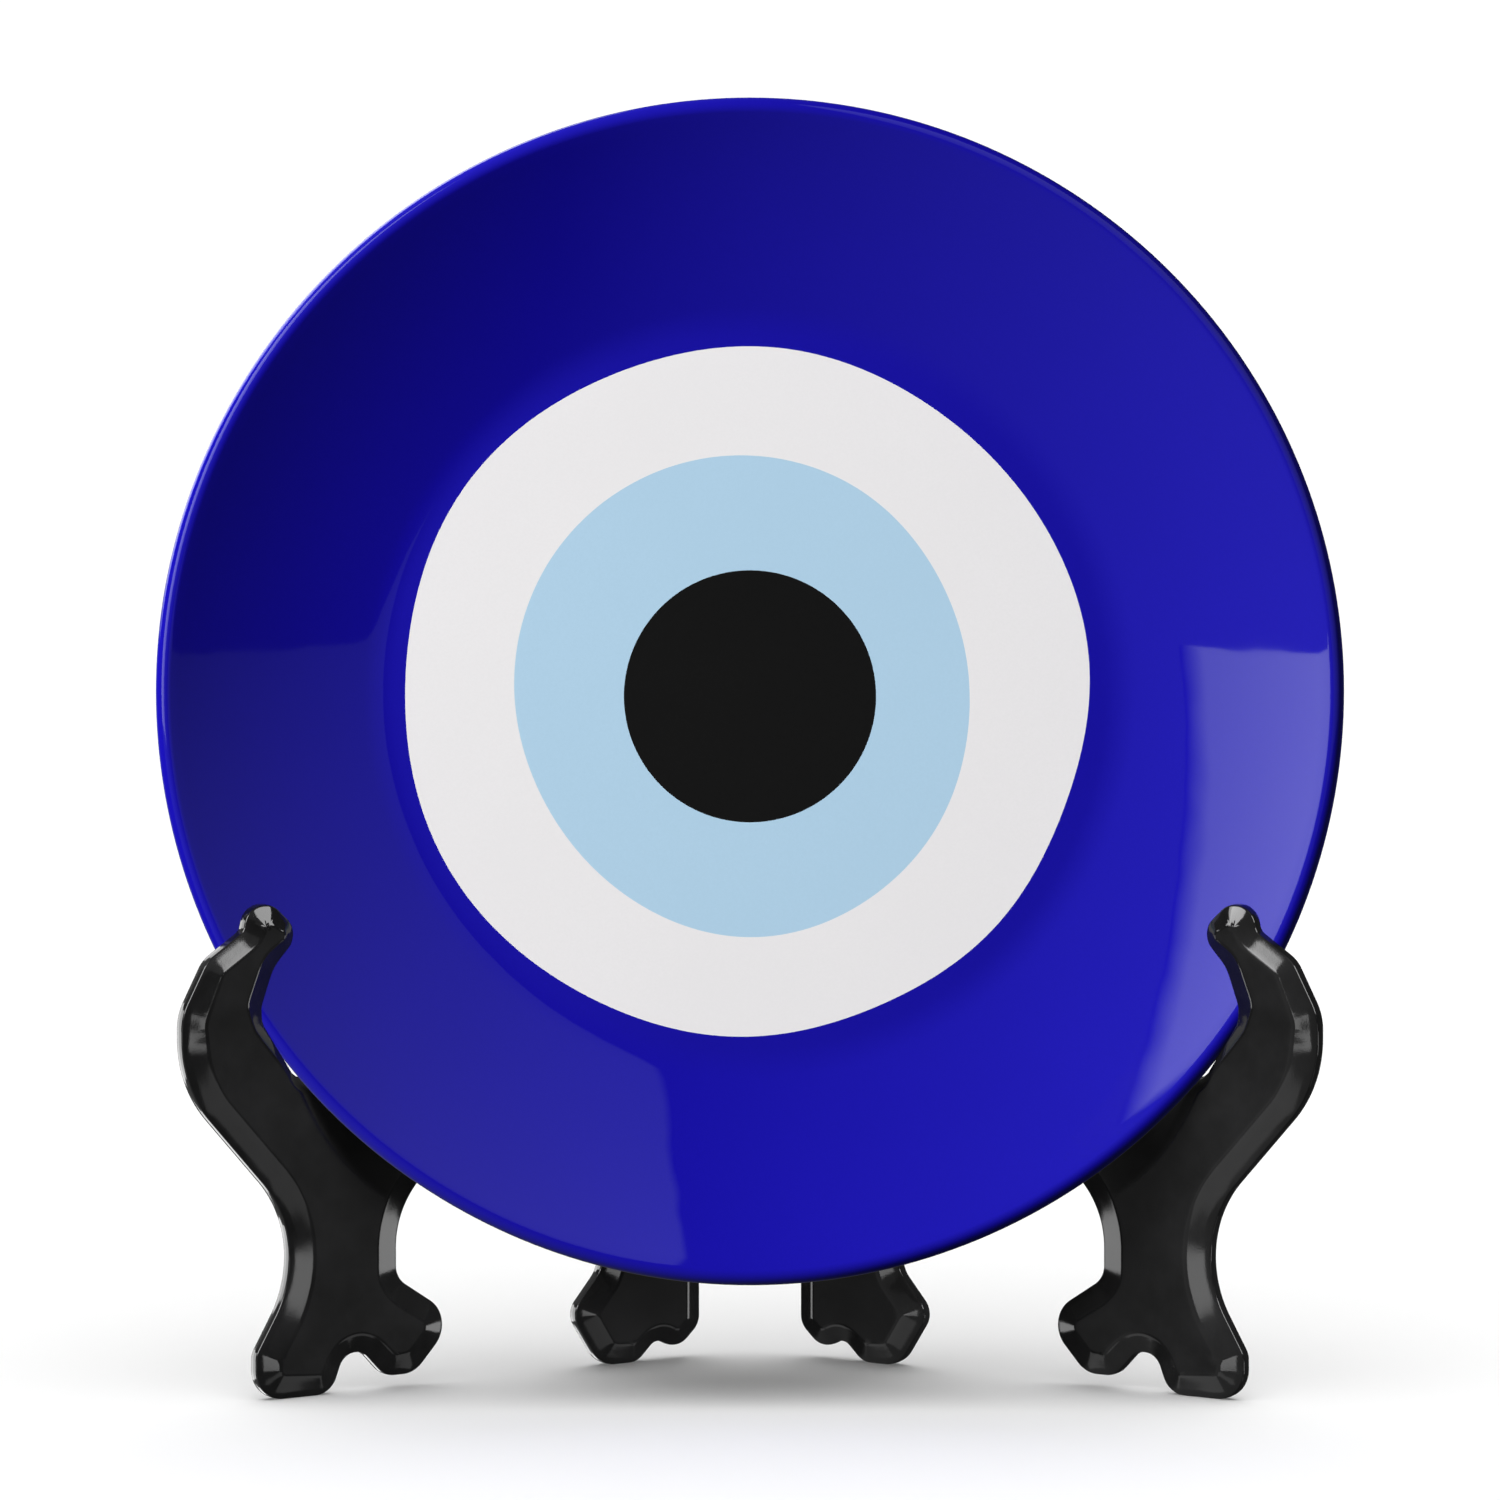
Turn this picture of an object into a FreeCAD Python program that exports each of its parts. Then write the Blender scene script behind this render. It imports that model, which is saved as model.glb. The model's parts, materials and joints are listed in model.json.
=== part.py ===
import FreeCAD, Part
import math
import os
import Sketcher
from FreeCAD import Rotation, Vector

# Evil eye plate on a folding two-wing easel, in millimetres.
# Origin: centre of the footprint, on the floor.  +Z is up and the eye looks towards -Y.
# Plate frame: Z along the plate's axis towards the viewer, Z = 0 in the plane of the rim.
# Wing frame: X away from the hinge, Z up, Y across the moulding; the hinge is X = Y = 0.

DIMENSIONS = {
    # plate
    "plate_radius": 100.0,
    "lip_radius": 1.8,
    "well_radius": 60.0,
    "well_fillet": 22.0,
    "rim_slope_inner": 14.0,
    "rim_slope_outer": 26.0,
    "well_wall": 4.2,
    "foot_inner_radius": 52.5,
    "foot_outer_radius": 56.5,
    "foot_height": 2.8,
    "print_thickness": 0.12,
    "pupil_radius": 21.3,
    "pupil_drop": 0.6,
    # how the plate stands
    "lean": 10.0,
    "plate_y": -9.28,
    "plate_z": 119.4,
    # wings
    "hinge_y": 25.22,
    "half_opening": 60.0,
    "wing_thickness": 4.3,
    "wing_gap": 0.15,
    "bevel_width": 3.4,
    "bevel_depth": 0.9,
    # hinge
    "knuckle_radius": 3.3,
    "knuckle_reach": 13.2,
    "middle_knuckle": 10.0,
    "outer_knuckle": 6.0,
    "knuckle_gap": 0.2,
    "lower_station": 74.0,
    "upper_station": 118.0,
    "pin_radius": 1.2,
    "pin_clearance": 0.05,
    "pin_head_radius": 2.3,
    "pin_head_height": 1.2,
}

# Distance from the plate's centre to the edge of a painted ring, at equal angles round it.
WHITE_RADII = (57.3, 57.4, 57.0, 57.7, 58.6, 58.5, 59.4, 59.0,
               58.2, 58.9, 58.6, 58.1, 58.1, 57.1, 57.3, 56.5)
LIGHT_BLUE_RADII = (37.1, 37.3, 38.9, 40.1, 40.6, 40.5,
                    39.8, 39.3, 40.2, 41.3, 40.2, 38.5)

# Corners of the wing outline, anticlockwise: distance from the hinge, height, corner radius.
WING_CORNERS = (
    # front foot, outer toe
    (80.9, 0.0, 4.2), (95.4, 0.0, 5.2), (95.3, 7.9, 3.7),
    # waist and shoulder of the arm
    (84.4, 26.4, 19.8), (109.2, 54.7, 21.5), (109.2, 66.9, 10.0), (104.3, 75.9, 6.0),
    # hooked knob in front of the plate
    (97.4, 80.3, 2.0), (96.4, 84.6, 3.6), (91.7, 84.6, 3.6), (86.4, 79.4, 3.6),
    # slot that holds the rim
    (91.6, 73.8, 8.0), (93.9, 67.4, 3.0), (94.3, 64.6, 3.0), (88.6, 55.0, 6.0),
    # valley and upright behind the plate
    (53.3, 52.7, 20.0), (22.6, 140.0, 6.5), (9.2, 140.0, 5.0),
    # rear foot
    (9.2, 5.6, 3.6), (12.6, 2.3, 3.6), (15.2, 2.3, 3.6), (17.6, 3.8, 2.0),
    (21.4, 0.0, 3.6), (28.6, 0.0, 5.0), (34.4, 9.4, 3.7), (28.4, 16.6, 5.0),
    # arch between the feet
    (28.4, 40.0, 15.5), (68.2, 40.0, 16.0),
    # front foot, inner toe and notch
    (68.3, 18.8, 4.0), (56.7, 11.0, 5.2), (64.8, 2.1, 5.0), (70.5, 2.1, 4.0), (77.3, 9.5, 3.2),
)

SAME_LEVEL = 1e-4

doc = FreeCAD.newDocument("EvilEyePlate")


def make_sheet():
    """Put every driving dimension in a spreadsheet cell that carries its name."""
    sheet = doc.addObject("Spreadsheet::Sheet", "Dimensions")
    for row, (name, value) in enumerate(DIMENSIONS.items(), start=1):
        sheet.set("A%d" % row, name)
        sheet.set("B%d" % row, str(value))
        sheet.setAlias("B%d" % row, name)
    doc.recompute()
    return sheet


def origin_feature(body, role):
    """One of the body's own origin planes or axes."""
    return next(item for item in body.Origin.OriginFeatures if item.Role == role)


def new_sketch(body, name, plane, offset="0"):
    """Sketch on one of the body's origin planes, moved along its normal by an expression."""
    sketch = body.newObject("Sketcher::SketchObject", name)
    sketch.AttachmentSupport = [(origin_feature(body, plane), "")]
    sketch.MapMode = "FlatFace"
    sketch.setExpression("AttachmentOffset.Base.z", offset)
    return sketch


def new_body(name):
    """PartDesign body whose label is the sub-part's name."""
    body = doc.addObject("PartDesign::Body", name)
    body.Label = name
    return body


def add_path(sketch, path):
    """Add a chain of (start, end) lines and (start, middle, end) arcs to a sketch."""
    for step in path:
        points = [Vector(x, y, 0) for x, y in step]
        if len(points) == 2:
            sketch.addGeometry(Part.LineSegment(*points))
        else:
            sketch.addGeometry(Part.Arc(*points))


def rounded_outline(corners):
    """Closed chain of lines and arcs through a polygon whose corners are rounded."""
    arcs = []
    for index, (x, y, radius) in enumerate(corners):
        corner = Vector(x, y, 0)
        before = Vector(*corners[index - 1][:2], 0)
        after = Vector(*corners[(index + 1) % len(corners)][:2], 0)
        inward = (corner - before).normalize()
        outward = (after - corner).normalize()
        half_turn = inward.getAngle(outward) / 2
        start = corner - inward * radius * math.tan(half_turn)
        end = corner + outward * radius * math.tan(half_turn)
        to_centre = (outward - inward).normalize()
        middle = corner + to_centre * radius * (1 / math.cos(half_turn) - 1)
        arcs.append([(point.x, point.y) for point in (start, middle, end)])
    path = []
    for index, arc in enumerate(arcs):
        path.append(arc)
        path.append((arc[2], arcs[(index + 1) % len(arcs)][0]))
    return path


def closed_curve(radii):
    """Smooth closed curve at the given distances from the centre, at equal angles."""
    step = 2 * math.pi / len(radii)
    points = [
        Vector(radius * math.cos(index * step), radius * math.sin(index * step), 0)
        for index, radius in enumerate(radii)
    ]
    curve = Part.BSplineCurve()
    curve.interpolate(points, PeriodicFlag=True)
    return curve


def arc_points(centre_x, centre_y, radius, start, end):
    """Start, middle and end of an arc whose angles are in degrees."""
    return tuple(
        (
            centre_x + radius * math.cos(math.radians(angle)),
            centre_y + radius * math.sin(math.radians(angle)),
        )
        for angle in (start, (start + end) / 2, end)
    )


class Profile:
    """The plate's half section, worked out from the sheet: a flat well, a fillet and a coupe rim."""

    def __init__(self, sheet):
        inner = math.radians(sheet.rim_slope_inner)
        outer = math.radians(sheet.rim_slope_outer)
        self.sheet = sheet
        self.lip_centre = (sheet.plate_radius - sheet.lip_radius, -sheet.lip_radius)
        rim_end_x = self.lip_centre[0] - sheet.lip_radius * math.sin(outer)
        rim_end_z = self.lip_centre[1] + sheet.lip_radius * math.cos(outer)
        rim_start_x = sheet.well_radius + sheet.well_fillet * math.sin(inner)
        self.rim_radius = (rim_end_x - rim_start_x) / (math.sin(outer) - math.sin(inner))
        self.rim_centre = (
            rim_end_x - self.rim_radius * math.sin(outer),
            rim_end_z + self.rim_radius * math.cos(outer),
        )
        rim_start_z = self.rim_centre[1] - self.rim_radius * math.cos(inner)
        self.well_z = rim_start_z - sheet.well_fillet * (1 - math.cos(inner))

    def front(self, inset):
        """Front surface from the well's edge to the lip's outermost point, sunk by inset."""
        sheet = self.sheet
        inner, outer = sheet.rim_slope_inner, sheet.rim_slope_outer
        fillet_centre_z = self.well_z + sheet.well_fillet
        return [
            arc_points(sheet.well_radius, fillet_centre_z, sheet.well_fillet + inset,
                       -90, inner - 90),
            arc_points(*self.rim_centre, self.rim_radius + inset, inner - 90, outer - 90),
            arc_points(*self.lip_centre, sheet.lip_radius - inset, outer + 90, 0),
        ]

    def back(self):
        """Back of the rim, from the lip's outermost point down to the underside of the well."""
        sheet = self.sheet
        back_radius = self.rim_radius + 2 * sheet.lip_radius
        underside = self.well_z - sheet.well_wall
        drop = (self.rim_centre[1] - underside) / back_radius
        meet = math.degrees(math.acos(drop)) - 90
        return [
            arc_points(*self.lip_centre, sheet.lip_radius, 0, sheet.rim_slope_outer - 90),
            arc_points(*self.rim_centre, back_radius, sheet.rim_slope_outer - 90, meet),
        ]


def revolve(body, sketch):
    """Turn a half section once round the body's Z axis."""
    turned = body.newObject("PartDesign::Revolution", sketch.Name + "_turned")
    turned.Profile = sketch
    turned.ReferenceAxis = (sketch, ["V_Axis"])
    turned.Angle = 360
    return turned


def turn_about(body, axis, angle):
    """Turn a body about an axis through the origin by an expression.

    The axis is stored with a right angle, because a turn of zero would lose it."""
    body.Placement = FreeCAD.Placement(Vector(0, 0, 0), Rotation(axis, 90))
    body.setExpression("Placement.Rotation.Angle", angle)


def place_on_plate(body):
    """Lean the plate frame back on the easel."""
    turn_about(body, Vector(1, 0, 0), "90 deg - Dimensions.lean * 1 deg")
    body.setExpression("Placement.Base.y", "Dimensions.plate_y * 1 mm")
    body.setExpression("Placement.Base.z", "Dimensions.plate_z * 1 mm")


def make_plate(profile):
    """White ceramic plate, sunk by the thickness of the print, with a turned foot ring."""
    sheet = profile.sheet
    body = new_body("plate_body")
    sketch = new_sketch(body, "plate_section", "XZ_Plane")
    sunk = sheet.print_thickness
    underside = profile.well_z - sheet.well_wall
    foot_z = underside - sheet.foot_height
    top = profile.well_z - sunk
    front = profile.front(sunk)
    back = profile.back()
    add_path(sketch, [((0, top), (sheet.well_radius, top))])
    add_path(sketch, front)
    add_path(sketch, [(front[-1][-1], back[0][0])])
    add_path(sketch, back)
    corners = [
        back[-1][-1],
        (sheet.foot_outer_radius, underside),
        (sheet.foot_outer_radius, foot_z),
        (sheet.foot_inner_radius, foot_z),
        (sheet.foot_inner_radius, underside),
        (0, underside),
        (0, top),
    ]
    add_path(sketch, list(zip(corners, corners[1:])))
    revolve(body, sketch)
    place_on_plate(body)
    return body


def make_blue_ground(profile):
    """Thin blue print over the rim, with a hand-cut opening where the white ring shows."""
    sheet = profile.sheet
    body = new_body("print_blue_ground")
    sketch = new_sketch(body, "blue_section", "XZ_Plane")
    sunk = sheet.print_thickness
    outer = profile.front(0)
    inner = profile.front(sunk)
    top, bottom = profile.well_z, profile.well_z - sunk
    add_path(sketch, [((0, top), (sheet.well_radius, top))])
    add_path(sketch, outer)
    add_path(sketch, [(outer[-1][-1], inner[-1][-1])])
    add_path(sketch, inner)
    add_path(sketch, [((sheet.well_radius, bottom), (0, bottom)), ((0, bottom), (0, top))])
    revolve(body, sketch)
    opening = new_sketch(body, "white_opening", "XY_Plane")
    opening.addGeometry(closed_curve(WHITE_RADII))
    pocket = body.newObject("PartDesign::Pocket", "opening_cut")
    pocket.Profile = opening
    pocket.Type = "ThroughAll"
    pocket.Midplane = True
    place_on_plate(body)
    return body


def make_flat_print(name, profile, curves):
    """Flat print in the well between two closed curves, or inside one."""
    body = new_body(name)
    sketch = new_sketch(body, name + "_outline", "XY_Plane", "%.6f mm" % profile.well_z)
    for curve in curves:
        sketch.addGeometry(curve)
    pad = body.newObject("PartDesign::Pad", name + "_layer")
    pad.Profile = sketch
    pad.Reversed = True
    pad.setExpression("Length", "Dimensions.print_thickness * 1 mm")
    place_on_plate(body)
    return body


def pupil_curve(sheet):
    """Round edge of the pupil, a little below the plate's centre."""
    return Part.Circle(Vector(0, -sheet.pupil_drop, 0), Vector(0, 0, 1), sheet.pupil_radius)


def flat_face_edges(shape, levels):
    """Names of the edges that lie wholly in one of the given Y levels."""
    names = []
    for index, edge in enumerate(shape.Edges, start=1):
        box = edge.BoundBox
        for level in levels:
            if max(abs(box.YMin - level), abs(box.YMax - level)) < SAME_LEVEL:
                names.append("Edge%d" % index)
    return names


def knuckle_profile(sheet, side):
    """Barrel round the hinge axis with an arm that runs into the wing, on the wing's side."""
    radius, reach, gap = sheet.knuckle_radius, sheet.knuckle_reach, sheet.wing_gap
    meet = math.sqrt(radius ** 2 - gap ** 2)
    arc = [(meet, side * gap), (-meet, -side * gap), (0, side * radius)]
    corners = [(0, side * radius), (reach, side * radius), (reach, side * gap), (meet, side * gap)]
    return [arc] + list(zip(corners, corners[1:]))


def add_knuckle(body, sheet, side, name, bottom, length):
    """One hinge knuckle; bottom and length are expressions over the sheet."""
    sketch = new_sketch(body, name + "_profile", "XY_Plane", bottom)
    add_path(sketch, knuckle_profile(sheet, side))
    pad = body.newObject("PartDesign::Pad", name)
    pad.Profile = sketch
    pad.setExpression("Length", length)


def add_hinge_bore(body, sheet):
    """Running bore for the hinge rod through every knuckle of a wing."""
    sketch = new_sketch(body, body.Label + "_bore_circle", "XY_Plane")
    sketch.addGeometry(Part.Circle(Vector(0, 0, 0), Vector(0, 0, 1), sheet.pin_radius))
    sketch.addConstraint(Sketcher.Constraint("Coincident", 0, 3, -1, 1))
    radius = sketch.addConstraint(Sketcher.Constraint("Radius", 0, sheet.pin_radius))
    sketch.setExpression("Constraints[%d]" % radius,
                         "(Dimensions.pin_radius + Dimensions.pin_clearance) * 1 mm")
    bore = body.newObject("PartDesign::Pocket", body.Label + "_bore")
    bore.Profile = sketch
    bore.Type = "ThroughAll"
    bore.Midplane = True
    return bore


def make_wing(name, sheet, side, turn, knuckles):
    """Flat moulded wing: side is the wing's side of the hinge plane, turn its swing about Z."""
    body = new_body(name)
    lift = "Dimensions.wing_gap * 1 mm" if side < 0 else "-Dimensions.wing_gap * 1 mm"
    outline = new_sketch(body, name + "_outline", "XZ_Plane", lift)
    add_path(outline, rounded_outline(WING_CORNERS))
    pad = body.newObject("PartDesign::Pad", name + "_plate")
    pad.Profile = outline
    pad.Reversed = side > 0
    pad.setExpression("Length", "Dimensions.wing_thickness * 1 mm")
    doc.recompute()

    near = side * sheet.wing_gap
    far = side * (sheet.wing_gap + sheet.wing_thickness)
    bevel = body.newObject("PartDesign::Chamfer", name + "_bevel")
    bevel.Base = (pad, flat_face_edges(pad.Shape, (near, far)))
    bevel.ChamferType = "Two distances"
    bevel.setExpression("Size", "Dimensions.bevel_depth * 1 mm")
    bevel.setExpression("Size2", "Dimensions.bevel_width * 1 mm")
    doc.recompute()

    for station in ("lower_station", "upper_station"):
        for knuckle, bottom, length in knuckles:
            add_knuckle(body, sheet, side, "%s_%s_%s" % (name, station, knuckle),
                        "(Dimensions.%s + %s) * 1 mm" % (station, bottom),
                        "Dimensions.%s * 1 mm" % length)
    add_hinge_bore(body, sheet)
    turn_about(body, Vector(0, 0, 1), turn)
    body.setExpression("Placement.Base.y", "Dimensions.hinge_y * 1 mm")
    return body


def make_hinge_rod(sheet):
    """Steel rod with a turned head at the top and a riveted collar at the bottom."""
    body = new_body("hinge_rod")
    half = sheet.middle_knuckle / 2 + sheet.knuckle_gap + sheet.outer_knuckle
    bottom = sheet.lower_station - half - sheet.pin_clearance
    top = sheet.upper_station + half + sheet.pin_clearance
    shank, head, height = sheet.pin_radius, sheet.pin_head_radius, sheet.pin_head_height
    dome = height / 2
    sketch = new_sketch(body, "rod_section", "XZ_Plane")
    corners = [(0, top + height), (head - dome, top + height)]
    add_path(sketch, [tuple(corners), arc_points(head - dome, top + dome, dome, 90, 0)])
    corners = [(head, top + dome), (head, top), (shank, top), (shank, bottom),
               (head, bottom), (head, bottom - dome)]
    add_path(sketch, list(zip(corners, corners[1:])))
    add_path(sketch, [arc_points(head - dome, bottom - dome, dome, 0, -90)])
    corners = [(head - dome, bottom - height), (0, bottom - height), (0, top + height)]
    add_path(sketch, list(zip(corners, corners[1:])))
    revolve(body, sketch)
    body.setExpression("Placement.Base.y", "Dimensions.hinge_y * 1 mm")
    return body


def build():
    """Make every sub-part and return their bodies."""
    sheet = make_sheet()
    profile = Profile(sheet)
    white = closed_curve(WHITE_RADII)
    light_blue = closed_curve(LIGHT_BLUE_RADII)
    pupil = pupil_curve(sheet)
    middle = [("middle", "-Dimensions.middle_knuckle / 2", "middle_knuckle")]
    outer_start = "Dimensions.middle_knuckle / 2 + Dimensions.knuckle_gap"
    outer = [
        ("top", outer_start, "outer_knuckle"),
        ("bottom", "-(%s + Dimensions.outer_knuckle)" % outer_start, "outer_knuckle"),
    ]
    return [
        make_plate(profile),
        make_blue_ground(profile),
        make_flat_print("print_white_ring", profile, [white, light_blue]),
        make_flat_print("print_light_blue_ring", profile, [light_blue, pupil]),
        make_flat_print("print_black_pupil", profile, [pupil]),
        make_wing("left_wing", sheet, -1, "270 deg - Dimensions.half_opening * 1 deg", middle),
        make_wing("right_wing", sheet, 1, "Dimensions.half_opening * 1 deg - 90 deg", outer),
        make_hinge_rod(sheet),
    ]


def check(bodies):
    """Stop before anything is written if an object failed or a sub-part isn't a sound solid."""
    for item in doc.Objects:
        if "Invalid" in item.State or "Error" in item.State:
            raise RuntimeError("%s failed: %s" % (item.Label, item.State))
    for body in bodies:
        shape = body.Shape
        if shape.isNull() or not shape.isValid() or len(shape.Solids) != 1:
            raise RuntimeError("%s is not one valid solid" % body.Label)


def export(bodies):
    """Write one STEP file per sub-part and print its volume and extent."""
    os.makedirs("parts", exist_ok=True)
    for body in bodies:
        body.Shape.exportStep("parts/%s.step" % body.Label)
        box = body.Shape.BoundBox
        print("%-22s volume %9.1f  X %7.2f %7.2f  Y %7.2f %7.2f  Z %7.2f %7.2f" % (
            body.Label, body.Shape.Volume, box.XMin, box.XMax, box.YMin, box.YMax,
            box.ZMin, box.ZMax))


parts = build()
doc.recompute()
check(parts)
export(parts)
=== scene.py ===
import json
import math

import bmesh
import bpy
import numpy as np
from mathutils import Matrix, Vector
from mathutils.geometry import delaunay_2d_cdt


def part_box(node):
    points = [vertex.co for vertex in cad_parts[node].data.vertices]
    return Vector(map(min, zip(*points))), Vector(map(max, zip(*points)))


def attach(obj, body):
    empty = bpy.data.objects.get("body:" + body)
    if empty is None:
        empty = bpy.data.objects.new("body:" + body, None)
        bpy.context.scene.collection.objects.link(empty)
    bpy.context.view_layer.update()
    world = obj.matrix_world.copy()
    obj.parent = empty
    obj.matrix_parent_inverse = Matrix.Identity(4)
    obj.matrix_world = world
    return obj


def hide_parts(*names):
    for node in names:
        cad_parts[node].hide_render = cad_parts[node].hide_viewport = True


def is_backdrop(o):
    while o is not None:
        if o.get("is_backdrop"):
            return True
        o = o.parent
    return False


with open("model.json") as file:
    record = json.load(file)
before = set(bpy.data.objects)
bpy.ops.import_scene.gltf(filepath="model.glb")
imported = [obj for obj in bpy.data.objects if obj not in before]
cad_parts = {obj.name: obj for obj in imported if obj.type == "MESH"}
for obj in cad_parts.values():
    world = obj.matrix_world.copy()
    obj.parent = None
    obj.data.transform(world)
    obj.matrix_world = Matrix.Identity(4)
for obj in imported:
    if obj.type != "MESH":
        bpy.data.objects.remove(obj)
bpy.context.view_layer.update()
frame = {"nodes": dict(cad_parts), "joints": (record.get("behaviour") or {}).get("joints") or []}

# Evil eye plate on a folding two-wing easel: the looks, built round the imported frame.
# Shapes are written in millimetres and become metres when a mesh is made.
# Plate frame: Z along the plate's axis towards the viewer, Z = 0 in the plane of the rim.
# Wing frame: X away from the hinge, Z up, Y across the moulding; the hinge is X = Y = 0.

MM = 0.001
CREASE_ANGLE = 32.0

# plate section
LIP_RADIUS = 1.8
WELL_RADIUS = 60.0
WELL_FILLET = 22.0
RIM_SLOPE_INNER = 14.0
RIM_SLOPE_OUTER = 26.0
WELL_WALL = 4.2
FOOT_INNER_RADIUS = 52.5
FOOT_OUTER_RADIUS = 56.5
FOOT_HEIGHT = 2.8
FOOT_DRAFT = 0.3
FOOT_EDGE = 0.9
PRINT_THICKNESS = 0.12
TURNS = 288

# wings and hinge
WING_THICKNESS = 4.3
WING_GAP = 0.15
BEVEL_DEPTH = 1.15
FULL_DEPTH_WIDTH = 2.2
CREST_ROUND = 0.5
FLAT_BORDER = 0.5
EDGE_ROUND = 0.3
REACH_SHARE = 0.86
REACH_SHARE_GAIN = 0.12
PARTING_RIDGE = 0.03
PARTING_HALF_WIDTH = 0.22
ARC_STEP = 0.42
LINE_STEP = 1.1
FACE_SPACING = 2.6
KNUCKLE_RADIUS = 3.3
KNUCKLE_REACH = 13.2
MIDDLE_KNUCKLE = 10.0
OUTER_KNUCKLE = 6.0
KNUCKLE_GAP = 0.2
KNUCKLE_STATIONS = (74.0, 118.0)
KNUCKLE_EDGE = 0.25
BORE_RADIUS = 1.25
ROD_RADIUS = 1.2
ROD_HEAD_RADIUS = 2.3
ROD_HEAD_HEIGHT = 1.2

# Corners of the wing outline, anticlockwise: distance from the hinge, height, corner radius, bevel width.
WING_CORNERS = (
    # front foot, outer toe
    (80.9, 0.0, 4.2, 3.6), (95.4, 0.0, 5.2, 4.2), (95.3, 7.9, 3.7, 4.2),
    # waist and shoulder of the arm
    (84.4, 26.4, 19.8, 4.4), (109.2, 54.7, 21.5, 4.4), (109.2, 66.9, 10.0, 4.0), (104.3, 75.9, 6.0, 3.2),
    # hooked knob in front of the plate
    (97.4, 80.3, 2.0, 3.2), (96.4, 84.6, 3.6, 3.8), (91.7, 84.6, 3.6, 3.2), (86.4, 79.4, 3.6, 2.2),
    # slot that holds the rim
    (91.6, 73.8, 8.0, 3.4), (93.9, 67.4, 3.0, 3.6), (93.8, 64.6, 3.0, 2.4),
    (88.5, 55.7, 1.5, 0.9), (87.0, 54.6, 3.0, 1.8),
    # valley and upright behind the plate
    (53.3, 52.7, 20.0, 2.6), (22.6, 140.0, 6.5, 3.4), (9.2, 140.0, 5.0, 3.0),
    # rear foot
    (9.2, 5.6, 3.6, 3.0), (12.6, 2.3, 3.6, 3.0), (15.2, 2.3, 3.6, 3.0), (17.6, 3.8, 2.0, 3.0),
    (21.4, 0.0, 3.6, 3.4), (28.6, 0.0, 5.0, 3.8), (34.4, 9.4, 3.7, 3.8), (28.4, 16.6, 5.0, 3.8),
    # arch between the feet
    (28.4, 40.0, 15.5, 4.0), (68.2, 40.0, 16.0, 4.2),
    # front foot, inner toe and notch
    (68.3, 18.8, 4.0, 4.2), (56.7, 11.0, 5.2, 4.0), (64.8, 2.1, 5.0, 4.0), (70.5, 2.1, 4.0, 3.6),
    (77.3, 9.5, 3.2, 3.4),
)

# camera and studio, in metres, degrees and watts
CAMERA_DISTANCE = 3.0
CAMERA_ELEVATION = 8.5
CAMERA_DROP = 0.010
FIELD_WIDTH = 0.2523
SENSOR_WIDTH = 36.0
SOFTBOX_TILT = 24.4
SOFTBOX_FOOT = (-0.909, 0.255)
WINDOW_SPAN = (-1.30, -0.50)
WINDOW_HEIGHT = 1.04
PANEL_SPAN = (0.079, 1.60)
PANEL_HEIGHT = 1.248
KEY_DIRECTION = (-0.712, -0.464, 0.527)
KEY_DISTANCE = 3.6
KEY_SIZE = (1.8, 2.2)
KEY_WATTS = 235.0
STAND_MIDDLE = (0, 0, 0.05)
OBJECT_MIDDLE = (0, 0, 0.1)
AMBIENT_LEVEL = 0.03
FLOOR_REACH = 12.0
SKY_ANGLE = 100

# Brightness of the room in reflections, by direction: X from -1 (left) to 1 (right), level.
ROOM_LEVELS = (
    (-1.0, 0.06), (-0.84, 0.06), (-0.78, 0.34), (-0.3, 0.2), (0.25, 0.03), (1.0, 0.06),
)

# Strip lights that only the polished wings mirror, on the right and again on the left: azimuth round
# from the viewer, positive to the right, and elevation, each from and to, then distance and brightness.
STAND_STRIPS = (
    # knob tops
    (29, 72, 16, 42, 0.85, 6.0),
    # shoulder, waist and toe
    (25, 32, -12, 1, 4.0, 2.2),
    # inner edges and notch walls
    (82, 98, -18, -8, 4.0, 3.0),
    # flat faces
    (52, 70, -17, 0, 4.0, 0.1),
    # undersides
    (30, 45, -30, -16, 4.0, 0.45), (50, 80, -40, -28, 4.0, 0.5),
)
# The same from behind on the left, for the left wing's outer side walls and for the plate's lip.
SIDE_STRIPS = (
    (-140, -106, -26, 14, 4.0, 4.0),
    (-166, -142, -42, -27, 4.0, 3.0),
    (-166, -142, 20, 42, 4.0, 3.0),
)
LIP_STRIP = (-168, -108, 2, 45, 4.0, 3.0)


# ---------------------------------------------------------------- meshes

def finish_mesh(mesh):
    """Face every shell outwards and shade it smooth up to a crease angle."""
    working = bmesh.new()
    working.from_mesh(mesh)
    bmesh.ops.remove_doubles(working, verts=working.verts, dist=1e-7)
    bmesh.ops.recalc_face_normals(working, faces=working.faces)
    working.to_mesh(mesh)
    working.free()
    mesh.shade_smooth()
    mesh.set_sharp_from_angle(angle=math.radians(CREASE_ANGLE))


def new_object(name, points, faces, material=None):
    """Object from points in millimetres."""
    mesh = bpy.data.meshes.new(name)
    mesh.from_pydata([tuple(point) for point in np.asarray(points) * MM], [], faces)
    piece = bpy.data.objects.new(name, mesh)
    bpy.context.scene.collection.objects.link(piece)
    if material is not None:
        mesh.materials.append(material)
    return piece


def arc(centre_x, centre_y, radius, start, end, count):
    """Points on an arc whose angles are in degrees."""
    return [
        (centre_x + radius * math.cos(angle), centre_y + radius * math.sin(angle))
        for angle in np.radians(np.linspace(start, end, count))
    ]


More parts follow.
